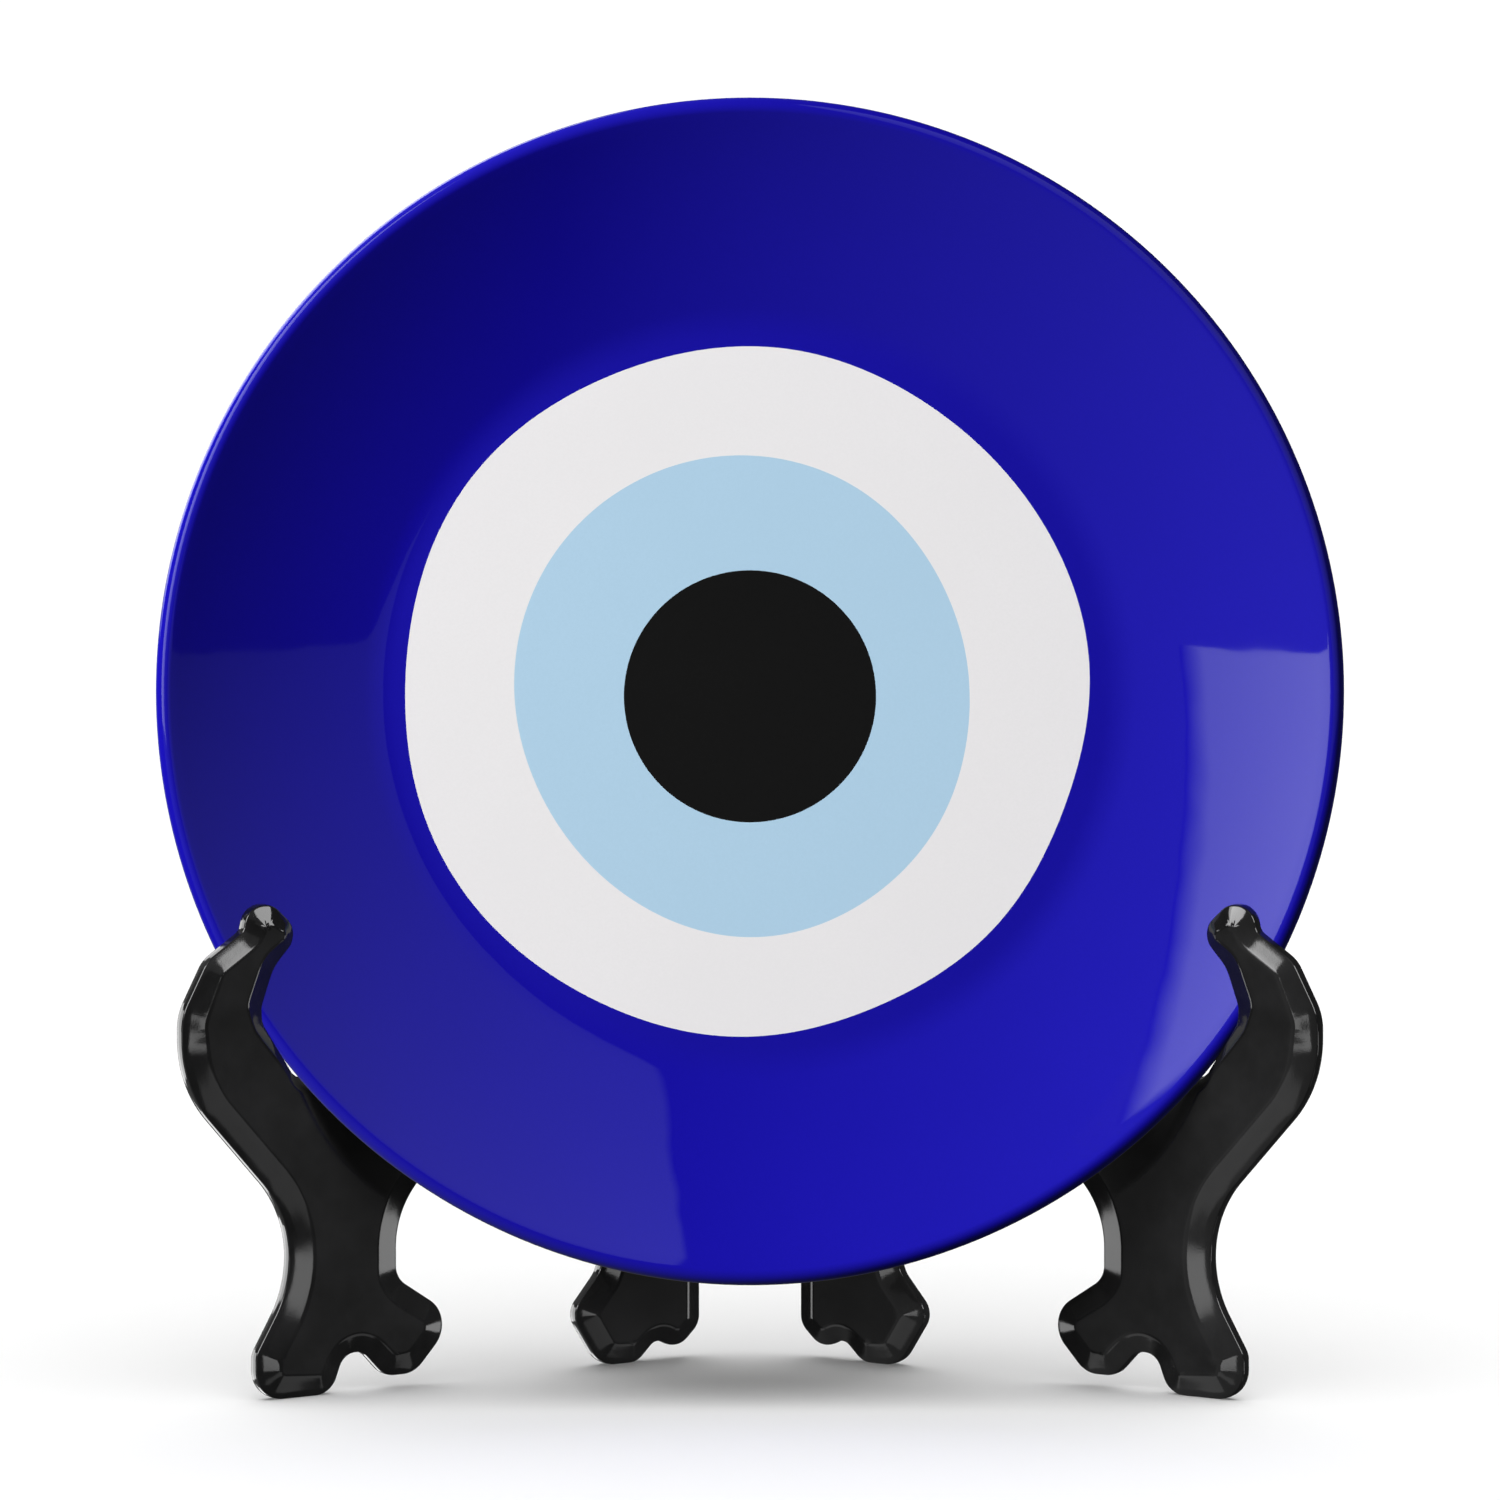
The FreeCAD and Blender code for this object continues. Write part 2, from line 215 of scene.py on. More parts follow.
def rounded_path(corners, count=6):
    """Open polyline (x, y, corner radius) with each inner corner rounded by an arc."""
    path = [corners[0][:2]]
    for before, (x, y, radius), after in zip(corners, corners[1:], corners[2:]):
        corner = Vector((x, y))
        inward = (corner - Vector(before[:2])).normalized()
        outward = (Vector(after[:2]) - corner).normalized()
        reach = radius * math.tan(inward.angle(outward) / 2)
        start, end = corner - inward * reach, corner + outward * reach
        for step in np.linspace(0, 1, count):
            near = start.lerp(corner, step)
            far = corner.lerp(end, step)
            path.append(tuple(near.lerp(far, step)))
    path.append(corners[-1][:2])
    return path


def lathe(name, rows, capped, material):
    """Closed shell turned about local Z. A row is (radius, height); either may vary round the turn.

    Capped shells close on the axis at both ends; the others join their last row to the first."""
    angles = np.linspace(0, 2 * math.pi, TURNS, endpoint=False)
    points = []
    for radius, height in rows:
        radii = np.broadcast_to(radius, angles.shape)
        heights = np.broadcast_to(height, angles.shape)
        points.append(np.column_stack([radii * np.cos(angles), radii * np.sin(angles), heights]))
    points = np.concatenate(points)
    faces = []
    last = len(rows) - 1 if capped else len(rows)
    for row in range(last):
        here, there = row * TURNS, (row + 1) % len(rows) * TURNS
        for turn in range(TURNS):
            after = (turn + 1) % TURNS
            faces.append((here + turn, here + after, there + after, there + turn))
    if capped:
        ends = [(0, 0, rows[0][1]), (0, 0, rows[-1][1])]
        first_pole = len(points)
        points = np.concatenate([points, ends])
        final = (len(rows) - 1) * TURNS
        for turn in range(TURNS):
            after = (turn + 1) % TURNS
            faces.append((first_pole, after, turn))
            faces.append((first_pole + 1, final + turn, final + after))
    piece = new_object(name, points, faces, material)
    finish_mesh(piece.data)
    return piece


# ---------------------------------------------------------------- plate

def node_points(*names):
    """Vertices of CAD nodes in the row frame, in metres."""
    meshes = [frame["nodes"][name].data for name in names]
    return np.array([vertex.co for mesh in meshes for vertex in mesh.vertices])


def plate_frame():
    """Placement matrix of the plate and its radius in millimetres, read from the CAD plate."""
    pupil = frame["nodes"]["print_black_pupil"].data
    facing = [face for face in pupil.polygons if face.normal.y < -0.5]
    axis = sum((face.normal * face.area for face in facing), Vector()).normalized()
    right = Vector((1, 0, 0))
    up = axis.cross(right)
    points = node_points("plate_body", "print_blue_ground")
    rise = points @ np.array(up)
    depth = points @ np.array(axis)
    centre = up * float(rise.max() + rise.min()) / 2 + axis * float(depth.max())
    matrix = Matrix((right, up, axis)).transposed().to_4x4()
    matrix.translation = centre
    return matrix, float(rise.max() - rise.min()) / 2 / MM


def painted_edge(matrix, node, lowest, highest, order=9):
    """Radius of a painted edge round the turn: a smooth periodic curve through the CAD print's edge.

    The edge is told from the print's other edge by the lowest and highest radius it may have."""
    points = node_points(node) @ np.array(matrix.inverted().to_3x3()).T
    points = (points + np.array(matrix.inverted().translation)) / MM
    radius = np.hypot(points[:, 0], points[:, 1])
    keep = (radius > lowest) & (radius < highest)
    angle = np.arctan2(points[keep, 1], points[keep, 0])

    def waves(angles):
        columns = [np.ones_like(angles)]
        for k in range(1, order + 1):
            columns += [np.cos(k * angles), np.sin(k * angles)]
        return np.column_stack(columns)

    weights = np.linalg.lstsq(waves(angle), radius[keep], rcond=None)[0]
    return waves(np.linspace(0, 2 * math.pi, TURNS, endpoint=False)) @ weights


class PlateSection:
    """Half section of the plate: a flat well, a fillet, a coupe rim and a round lip."""

    def __init__(self, radius):
        inner, outer = math.radians(RIM_SLOPE_INNER), math.radians(RIM_SLOPE_OUTER)
        self.lip = (radius - LIP_RADIUS, -LIP_RADIUS)
        rim_end = (self.lip[0] - LIP_RADIUS * math.sin(outer),
                   self.lip[1] + LIP_RADIUS * math.cos(outer))
        rim_start = WELL_RADIUS + WELL_FILLET * math.sin(inner)
        self.rim_radius = (rim_end[0] - rim_start) / (math.sin(outer) - math.sin(inner))
        self.rim_centre = (rim_end[0] - self.rim_radius * math.sin(outer),
                           rim_end[1] + self.rim_radius * math.cos(outer))
        self.well = (self.rim_centre[1] - self.rim_radius * math.cos(inner)
                     - WELL_FILLET * (1 - math.cos(inner)))
        self.underside = self.well - WELL_WALL
        self.foot = self.underside - FOOT_HEIGHT

    def front(self, sunk):
        """Front surface from the well's edge to the lip's outermost point, sunk below the glaze."""
        fillet_z = self.well + WELL_FILLET
        fillet = arc(WELL_RADIUS, fillet_z, WELL_FILLET + sunk, -90, RIM_SLOPE_INNER - 90, 9)
        rim = arc(*self.rim_centre, self.rim_radius + sunk,
                  RIM_SLOPE_INNER - 90, RIM_SLOPE_OUTER - 90, 22)
        lip = arc(*self.lip, LIP_RADIUS - sunk, RIM_SLOPE_OUTER + 90, 0, 16)
        return fillet + rim[1:] + lip[1:]

    def back(self):
        """Back of the lip and rim, then the underside with its foot ring, in to the axis."""
        back_radius = self.rim_radius + 2 * LIP_RADIUS
        meet = math.degrees(math.acos((self.rim_centre[1] - self.underside) / back_radius)) - 90
        lip = arc(*self.lip, LIP_RADIUS, 0, RIM_SLOPE_OUTER - 90, 16)
        rim = arc(*self.rim_centre, back_radius, RIM_SLOPE_OUTER - 90, meet + 1, 22)
        foot = rounded_path([
            (*rim[-1], 0.0),
            (FOOT_OUTER_RADIUS + 2.0, self.underside, 6.0),
            (FOOT_OUTER_RADIUS, self.underside, 1.0),
            (FOOT_OUTER_RADIUS - FOOT_DRAFT, self.foot, FOOT_EDGE),
            (FOOT_INNER_RADIUS + FOOT_DRAFT, self.foot, FOOT_EDGE),
            (FOOT_INNER_RADIUS, self.underside, 1.4),
            (FOOT_INNER_RADIUS - 6.0, self.underside, 0.0),
        ])
        return lip + rim[1:-1] + foot


def flat_rows(start, end, height, steps):
    """Lathe rows across a flat part, from one edge curve to another."""
    return [(start + (end - start) * share, height) for share in np.linspace(0, 1, steps)]


def build_plate(matrix, section, materials):
    """White plate and its four prints, each in the place of its CAD node."""
    white_edge = painted_edge(matrix, "print_white_ring", 50, 62)
    light_edge = painted_edge(matrix, "print_white_ring", 30, 45)
    pupil_edge = painted_edge(matrix, "print_black_pupil", 15, 30, order=3)
    top, sunk = section.well, section.well - PRINT_THICKNESS

    front = section.front(PRINT_THICKNESS)
    back = section.back()
    body_rows = (flat_rows(5.0, WELL_RADIUS - 5, sunk, 10) + front + back
                 + flat_rows(FOOT_INNER_RADIUS - 11, 5.5, section.underside, 8))
    ground_rows = (flat_rows(white_edge, WELL_RADIUS, top, 4)[:-1] + section.front(0.0)
                   + front[::-1] + flat_rows(WELL_RADIUS, white_edge, sunk, 4)[1:])

    def layer(inner, outer, steps):
        """Rows over the top of a print and back under it."""
        return flat_rows(inner, outer, top, steps) + flat_rows(outer, inner, sunk, steps)

    white_rows = layer(light_edge, white_edge, 7)
    light_rows = layer(pupil_edge, light_edge, 7)
    pupil_rows = layer(pupil_edge * 0.2, pupil_edge, 5)
    pieces = (
        ("glazed_plate", "plate_body", "white_glaze", body_rows, True),
        ("blue_ground", "print_blue_ground", "blue_print", ground_rows, False),
        ("white_ring", "print_white_ring", "white_print", white_rows, False),
        ("light_blue_ring", "print_light_blue_ring", "light_blue_print", light_rows, False),
        ("black_pupil", "print_black_pupil", "black_print", pupil_rows, True),
    )
    for name, node, slot, rows, capped in pieces:
        piece = lathe(name, rows, capped, materials[slot])
        piece.matrix_world = matrix
        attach(piece, "plate")
        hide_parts(node)


# ---------------------------------------------------------------- wings

def sample_outline():
    """Points, outward normals and bevel widths along the wing outline, with arcs at its corners."""
    arcs = []
    for index, (x, y, radius, bevel) in enumerate(WING_CORNERS):
        corner = Vector((x, y))
        following = WING_CORNERS[(index + 1) % len(WING_CORNERS)]
        inward = (corner - Vector(WING_CORNERS[index - 1][:2])).normalized()
        outward = (Vector(following[:2]) - corner).normalized()
        turn = inward.angle(outward)
        side = 1 if inward.x * outward.y - inward.y * outward.x > 0 else -1
        start = corner - inward * radius * math.tan(turn / 2)
        first_normal = Vector((inward.y, -inward.x))
        centre = start - first_normal * side * radius
        count = max(3, math.ceil(radius * turn / ARC_STEP))
        samples = []
        for step in range(count + 1):
            angle = side * turn * step / count
            normal = Vector((first_normal.x * math.cos(angle) - first_normal.y * math.sin(angle),
                             first_normal.x * math.sin(angle) + first_normal.y * math.cos(angle)))
            samples.append((centre + normal * side * radius, normal, bevel))
        arcs.append(samples)
    outline = []
    for index, samples in enumerate(arcs):
        outline += samples
        here, there = samples[-1], arcs[(index + 1) % len(arcs)][0]
        count = math.ceil((there[0] - here[0]).length / LINE_STEP)
        for step in range(1, count):
            share = step / count
            bevel = here[2] + (there[2] - here[2]) * share
            outline.append((here[0].lerp(there[0], share), here[1], bevel))
    points = np.array([point for point, _, _ in outline])
    normals = np.array([normal for _, normal, _ in outline])
    bevels = np.array([bevel for _, _, bevel in outline])
    return points, normals, smooth_loop(bevels, passes=6)


def smooth_loop(values, passes):
    """Even out a closed run of values."""
    for _ in range(passes):
        values = (np.roll(values, 1) + 2 * values + np.roll(values, -1)) / 4
    return values


def medial_reach(points, normals):
    """How far each outline point can move inwards before it meets the far side of the shape."""
    step = points[None, :, :] - points[:, None, :]
    inward = -np.einsum("ijk,ik->ij", step, normals)
    squared = (step ** 2).sum(axis=2)
    reach = np.where(inward > 1e-9, squared / np.maximum(2 * inward, 1e-9), np.inf)
    return reach.min(axis=1)


def bevel_section(width):
    """Edge, bevel, crest and face as (distance from the outline, depth below the face), outside in.

    A narrow bevel is shallower as well."""
    drop = BEVEL_DEPTH * min(1.0, width / FULL_DEPTH_WIDTH)
    slope = Vector((width, -drop)).normalized()
    edge, crest = Vector((0, drop)), Vector((width, 0))
    section = []
    for share in np.linspace(0, 1, 5):
        near = (edge + Vector((0, EDGE_ROUND))).lerp(edge, share)
        far = edge.lerp(edge + slope * EDGE_ROUND, share)
        section.append(near.lerp(far, share))
    for share in (0.35, 0.65):
        section.append(edge.lerp(crest, share))
    for share in np.linspace(0, 1, 6):
        near = (crest - slope * CREST_ROUND).lerp(crest, share)
        far = crest.lerp(crest + Vector((CREST_ROUND, 0)), share)
        section.append(near.lerp(far, share))
    section.append(crest + Vector((CREST_ROUND + FLAT_BORDER, 0)))
    return np.array(section)


def wing_rows(points, normals, bevels):
    """Rings of (x, y, depth) from the side wall to the flat face, kept off the shape's middle line.

    A ring goes no further in than a share of the way to that line; the share grows inwards."""
    reach = medial_reach(points, normals)
    sections = np.array([bevel_section(width) for width in bevels])
    rows = []
    count = sections.shape[1]
    for row in range(count):
        limit = reach * (REACH_SHARE + REACH_SHARE_GAIN * row / (count - 1))
        inset = np.minimum(sections[:, row, 0], limit)
        depth = np.array([
            np.interp(distance, section[:, 0], section[:, 1])
            if distance < section[row, 0] else section[row, 1]
            for distance, section in zip(inset, sections)
        ])
        rows.append(np.column_stack([points - normals * inset[:, None], depth]))
    return rows


def face_triangles(ring, outline, bevels):
    """Triangles inside the innermost ring, over a honeycomb of extra points clear of the bevel."""
    row_height = FACE_SPACING * 0.866
    clear = CREST_ROUND + FLAT_BORDER + 0.6
    low, high = ring[:, :2].min(axis=0), ring[:, :2].max(axis=0)
    extra = []
    for row, y in enumerate(np.arange(low[1], high[1], row_height)):
        for x in np.arange(low[0] + FACE_SPACING / 2 * (row % 2), high[0], FACE_SPACING):
            away = np.hypot(outline[:, 0] - x, outline[:, 1] - y)
            if away.min() > bevels[away.argmin()] + clear and inside(ring, x, y):
                extra.append((x, y))
    flat = [Vector(point) for point in ring[:, :2]] + [Vector(point) for point in extra]
    edges = [(index, (index + 1) % len(ring)) for index in range(len(ring))]
    corners, _, faces, origins, _, _ = delaunay_2d_cdt(flat, edges, [], 0, 1e-6, True)
    if any(not origin for origin in origins):
        raise RuntimeError("the wing face's inner ring crosses itself")
    kept = []
    for face in faces:
        middle = sum((corners[corner] for corner in face), Vector((0, 0))) / 3
        if inside(ring, *middle):
            kept.append(tuple(origins[corner][0] for corner in face))
    return extra, kept


def inside(ring, x, y):
    """True if the point is inside the polygon."""
    ax, ay = ring[:, 0], ring[:, 1]
    bx, by = np.roll(ax, -1), np.roll(ay, -1)
    crosses = (ay > y) != (by > y)
    at = ax + (y - ay) / np.where(by == ay, 1e-12, by - ay) * (bx - ax)
    return bool((crosses & (at > x)).sum() % 2)


def wing_solid(name, side, material):
    """Moulded wing plate with a bevel round both faces; side is its side of the hinge plane."""
    points, normals, bevels = sample_outline()
    rows = wing_rows(points, normals, bevels)
    count = len(points)
    near = side * WING_GAP
    far = side * (WING_GAP + WING_THICKNESS)
    middle = (near + far) / 2

    def ring_at(across, levels):
        """Ring of the outline's points (x, z) at the given levels across the wing."""
        return np.column_stack([across[:, 0], np.broadcast_to(levels, count), across[:, 1]])

    rings = [ring_at(row, near + side * row[:, 2]) for row in reversed(rows)]
    for offset, ridge in ((-PARTING_HALF_WIDTH, 0.0), (0.0, PARTING_RIDGE), (PARTING_HALF_WIDTH, 0.0)):
        rings.append(ring_at(points + normals * ridge, middle + side * offset))
    rings += [ring_at(row, far - side * row[:, 2]) for row in rows]
    extra, triangles = face_triangles(rows[-1], points, bevels)
    vertices = np.concatenate(rings + [
        np.array([(x, level, z) for x, z in extra]) for level in (near, far)
    ])
    faces = []
    for ring in range(len(rings) - 1):
        here, there = ring * count, (ring + 1) * count
        for index in range(count):
            after = (index + 1) % count
            faces.append((here + index, here + after, there + after, there + index))
    last = (len(rings) - 1) * count
    extra_start = len(rings) * count
    for ring_start, extra_offset in ((0, extra_start), (last, extra_start + len(extra))):
        for triangle in triangles:
            faces.append(tuple(
                ring_start + corner if corner < count else extra_offset + corner - count
                for corner in triangle
            ))
    wing = new_object(name, vertices, faces, material)
    finish_mesh(wing.data)
    return wing


def knuckle_solid(side, bottom, length):
    """Barrel round the hinge axis with an arm that runs into the wing."""
    meet = math.degrees(math.asin(WING_GAP / KNUCKLE_RADIUS))
    outline = arc(0, 0, KNUCKLE_RADIUS, meet, -270, 44)
    outline += [(KNUCKLE_REACH, KNUCKLE_RADIUS), (KNUCKLE_REACH, WING_GAP)]
    count = len(outline)
    vertices = [(x, side * y, bottom + height) for height in (0, length) for x, y in outline]
    faces = [tuple(range(count)), tuple(range(2 * count - 1, count - 1, -1))]
    for index in range(count):
        after = (index + 1) % count
        faces.append((index, after, count + after, count + index))
    knuckle = new_object("knuckle", vertices, faces)
    working = bmesh.new()
    working.from_mesh(knuckle.data)
    bmesh.ops.recalc_face_normals(working, faces=working.faces)
    rims = [edge for edge in working.edges if abs(edge.verts[0].co.z - edge.verts[1].co.z) < 1e-6]
    bmesh.ops.bevel(working, geom=rims, offset=KNUCKLE_EDGE * MM, segments=2, affect="EDGES", profile=0.5)
    working.to_mesh(knuckle.data)
    working.free()
    return knuckle


def rod_tool(radius, bottom, top):
    """Plain round bar on the hinge axis, used to cut the bore."""
    outline = arc(0, 0, radius, 0, 360, 49)[:-1]
    count = len(outline)
    vertices = [(x, y, height) for height in (bottom, top) for x, y in outline]
    faces = [tuple(range(count)), tuple(range(2 * count - 1, count - 1, -1))]
    for index in range(count):
        after = (index + 1) % count
        faces.append((index, after, count + after, count + index))
    tool = new_object("bore_tool", vertices, faces)
    finish_mesh(tool.data)
    return tool


def combine(target, tool, operation):
    """Boolean one mesh with another, then remove the tool."""
    modifier = target.modifiers.new("combine", "BOOLEAN")
    modifier.operation = operation
    modifier.object = tool
    modifier.solver = "EXACT"
    bpy.context.view_layer.update()
    result = target.evaluated_get(bpy.context.evaluated_depsgraph_get())
    mesh = bpy.data.meshes.new_from_object(result)
    target.modifiers.clear()
    target.data = mesh
    bpy.data.objects.remove(tool)


def wing_matrix(joint_name):
    """Placement of a wing at rest, from its fold joint: a full fold points it straight forward."""
    joint = next(item for item in frame["joints"] if item["name"] == joint_name)
    low, high = joint["range_deg"]
    forward = -90.0
    matrix = Matrix.Rotation(math.radians(forward - (low + high)), 4, "Z")
    matrix.translation = Vector(joint["pos_m"])
    return matrix


def build_wing(name, node, body, joint, side, knuckles, material):
    """Wing with its knuckles joined on and the bore cut through them."""
    wing = wing_solid(name, side, material)
    for station in KNUCKLE_STATIONS:
        for offset, length in knuckles:
            combine(wing, knuckle_solid(side, station + offset, length), "UNION")
    low, high = KNUCKLE_STATIONS[0] - 20, KNUCKLE_STATIONS[1] + 20
    combine(wing, rod_tool(BORE_RADIUS, low, high), "DIFFERENCE")
    finish_mesh(wing.data)
    wing.matrix_world = wing_matrix(joint)
    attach(wing, body)
    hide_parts(node)


def build_easel(materials):
    """Two wings whose knuckles interleave, and the rod through them."""
    middle = [(-MIDDLE_KNUCKLE / 2, MIDDLE_KNUCKLE)]
    start = MIDDLE_KNUCKLE / 2 + KNUCKLE_GAP
    outer = [(start, OUTER_KNUCKLE), (-start - OUTER_KNUCKLE, OUTER_KNUCKLE)]
    plastic = materials["black_plastic"]
    build_wing("easel_wing_left", "left_wing", "left_wing", "left_wing_fold", -1, middle, plastic)
    build_wing("easel_wing_right", "right_wing", "right_wing", "right_wing_fold", 1, outer, plastic)

    low, high = (corner.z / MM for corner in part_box("hinge_rod"))
    under_head, over_collar = high - ROD_HEAD_HEIGHT, low + ROD_HEAD_HEIGHT
    section = rounded_path([
        (0.3, high, 0), (ROD_HEAD_RADIUS, high, 0.6), (ROD_HEAD_RADIUS, under_head, 0.12),
        (ROD_RADIUS, under_head, 0.1), (ROD_RADIUS, over_collar, 0.1),
        (ROD_HEAD_RADIUS, over_collar, 0.12), (ROD_HEAD_RADIUS, low, 0.6), (0.3, low, 0),
    ], count=7)
    rod = lathe("hinge_pin", section, True, materials["rod_steel"])
    pivot = next(item for item in frame["joints"] if item["name"] == "left_wing_fold")["pos_m"]
    rod.matrix_world = Matrix.Translation(Vector((pivot[0], pivot[1], 0)))
    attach(rod, "hinge_rod")
    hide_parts("hinge_rod")


# ---------------------------------------------------------------- materials

def add_node(tree, kind, inputs=None, **settings):
    """Shader node with its settings and with inputs given as values or other nodes' sockets."""
    made = tree.nodes.new(kind)
    for name, value in settings.items():
        setattr(made, name, value)
    for name, value in (inputs or {}).items():
        socket = made.inputs[name]
        if isinstance(value, bpy.types.NodeSocket):
            tree.links.new(value, socket)
        else:
            socket.default_value = value
    return made


def new_material(name):
    """Material with its node tree and its Principled shader."""
    material = bpy.data.materials.new(name)
    material.use_nodes = True
    tree = material.node_tree
    shader = tree.nodes["Principled BSDF"]
    return material, tree, shader


def noise(tree, place, scale, detail=3.0, roughness=0.5):
    """Noise value from 0 to 1 at a place."""
    made = add_node(tree, "ShaderNodeTexNoise", {
        "Vector": place, "Scale": scale, "Detail": detail, "Roughness": roughness,
    })
    return made.outputs["Fac"]


def remap(tree, value, low, high, new_low, new_high):
    """Value carried from one range to another and held inside it."""
    made = add_node(tree, "ShaderNodeMapRange", {
        "Value": value, "From Min": low, "From Max": high, "To Min": new_low, "To Max": new_high,
    })
    return made.outputs["Result"]


def curve(tree, value, low, high, stops):
    """Broken line through (value, level) stops between the two ends."""
    made = add_node(tree, "ShaderNodeValToRGB", {"Fac": remap(tree, value, low, high, 0.0, 1.0)})
    elements = made.color_ramp.elements
    while len(elements) < len(stops):
        elements.new(1.0)
    for element, (place, level) in zip(elements, stops):
        element.position = (place - low) / (high - low)
        element.color = (level, level, level, 1.0)
    return made.outputs["Color"]


def mix_colour(tree, share, first, second):
    """Blend of two colours, from the first at share 0 to the second at share 1."""
    made = add_node(tree, "ShaderNodeMix", data_type="RGBA")
    for socket, value in ((0, share), (6, first), (7, second)):
        if isinstance(value, bpy.types.NodeSocket):
            tree.links.new(value, made.inputs[socket])
        elif socket == 0:
            made.inputs[socket].default_value = value
        else:
            made.inputs[socket].default_value = (*value, 1.0)
    return made.outputs[2]


def glaze(tree, shader, place):
    """Clear fired glaze: a glossy coat whose surface has a slight long ripple and fine pinholes."""
    ripple = noise(tree, place, 55.0, detail=2.0)
    pits = add_node(tree, "ShaderNodeTexVoronoi", {"Vector": place, "Scale": 900.0}).outputs["Distance"]
    pits = remap(tree, pits, 0.0, 0.09, 0.0, 1.0)
    long_bump = add_node(tree, "ShaderNodeBump", {"Height": ripple, "Strength": 0.06, "Distance": 0.0006})
    bump = add_node(tree, "ShaderNodeBump", {
        "Height": pits, "Strength": 0.015, "Distance": 0.0001, "Normal": long_bump.outputs["Normal"],
    })
    tree.links.new(bump.outputs["Normal"], shader.inputs["Coat Normal"])
    smudge = noise(tree, place, 30.0, detail=5.0, roughness=0.6)
    tree.links.new(remap(tree, smudge, 0.3, 0.7, 0.02, 0.05), shader.inputs["Coat Roughness"])
    shader.inputs["Coat Weight"].default_value = 1.0
    shader.inputs["Coat IOR"].default_value = 1.5
    shader.inputs["Specular IOR Level"].default_value = 0.0
    shader.inputs["Roughness"].default_value = 0.6


def printed_glaze(name, colour, shade):
    """Ink print under the glaze, with the faint unevenness of a transfer."""
    material, tree, shader = new_material(name)
    place = add_node(tree, "ShaderNodeTexCoord").outputs["Object"]
    cloud = noise(tree, place, 22.0, detail=6.0, roughness=0.6)
    grain = noise(tree, place, 2600.0, detail=2.0)
    uneven = add_node(tree, "ShaderNodeMath", {0: cloud, 1: grain}, operation="MULTIPLY").outputs[0]
    share = remap(tree, uneven, 0.15, 0.4, 0.0, 1.0)
    tree.links.new(mix_colour(tree, share, shade, colour), shader.inputs["Base Color"])
    glaze(tree, shader, place)
    return material


def white_glaze(section):
    """White glazed back, thin and greyer where it ran off edges, with a bare unglazed foot ring."""
    material, tree, shader = new_material("white_glaze")
    place = add_node(tree, "ShaderNodeTexCoord").outputs["Object"]
    cloud = remap(tree, noise(tree, place, 18.0, detail=6.0, roughness=0.55), 0.3, 0.7, 0.0, 1.0)
    glazed = mix_colour(tree, cloud, (0.80, 0.79, 0.77), (0.87, 0.865, 0.85))
    grain = noise(tree, place, 900.0, detail=4.0)
    bisque = mix_colour(tree, grain, (0.62, 0.58, 0.52), (0.74, 0.71, 0.66))
    depth = add_node(tree, "ShaderNodeSeparateXYZ", {"Vector": place}).outputs["Z"]
    waver = remap(tree, noise(tree, place, 260.0), 0.3, 0.7, -0.0002, 0.0002)
    edge = add_node(tree, "ShaderNodeMath", {0: depth, 1: waver}, operation="ADD").outputs[0]
    # the glaze thins out between 0.8 and 0.5 mm above the bottom of the foot ring
    bare = remap(tree, edge, section.foot * MM + 0.0008, section.foot * MM + 0.0005, 0.0, 1.0)
    tree.links.new(mix_colour(tree, bare, glazed, bisque), shader.inputs["Base Color"])
    glaze(tree, shader, place)
    tree.links.new(remap(tree, bare, 0.0, 1.0, 1.0, 0.0), shader.inputs["Coat Weight"])
    return material


def black_plastic():
    """Polished injection-moulded plastic: deep black gloss with flow ripple, dust and hairline scuffs."""
    material, tree, shader = new_material("black_plastic")
    place = add_node(tree, "ShaderNodeTexCoord").outputs["Object"]
    cloud = noise(tree, place, 70.0, detail=5.0, roughness=0.62)
    share = remap(tree, cloud, 0.35, 0.65, 0.0, 1.0)
    tone = mix_colour(tree, share, (0.004, 0.004, 0.004), (0.009, 0.009, 0.0093))
    tree.links.new(tone, shader.inputs["Base Color"])
    tree.links.new(remap(tree, cloud, 0.3, 0.7, 0.06, 0.12), shader.inputs["Roughness"])
    shader.inputs["IOR"].default_value = 1.56
    flow = noise(tree, place, 110.0, detail=2.0)
    long_bump = add_node(tree, "ShaderNodeBump", {"Height": flow, "Strength": 0.07, "Distance": 0.0005})
    scuffs = add_node(tree, "ShaderNodeMapping", {"Vector": place, "Scale": (900.0, 60.0, 900.0)})
    fine = noise(tree, scuffs.outputs["Vector"], 4.0, detail=4.0)
    bump = add_node(tree, "ShaderNodeBump", {
        "Height": fine, "Strength": 0.03, "Distance": 0.0001, "Normal": long_bump.outputs["Normal"],
    })
    tree.links.new(bump.outputs["Normal"], shader.inputs["Normal"])
    return material


def rod_steel():
    """Drawn steel with fine rings from turning."""
    material, tree, shader = new_material("rod_steel")
    place = add_node(tree, "ShaderNodeTexCoord").outputs["Object"]
    rings = add_node(tree, "ShaderNodeMapping", {"Vector": place, "Scale": (300.0, 300.0, 9000.0)})
    fine = noise(tree, rings.outputs["Vector"], 1.0, detail=4.0)
    tone = mix_colour(tree, fine, (0.45, 0.45, 0.46), (0.66, 0.66, 0.68))
    tree.links.new(tone, shader.inputs["Base Color"])
    tree.links.new(remap(tree, fine, 0.3, 0.7, 0.18, 0.34), shader.inputs["Roughness"])
    shader.inputs["Metallic"].default_value = 1.0
    bump = add_node(tree, "ShaderNodeBump", {"Height": fine, "Strength": 0.15, "Distance": 0.00005})
    tree.links.new(bump.outputs["Normal"], shader.inputs["Normal"])
    return material


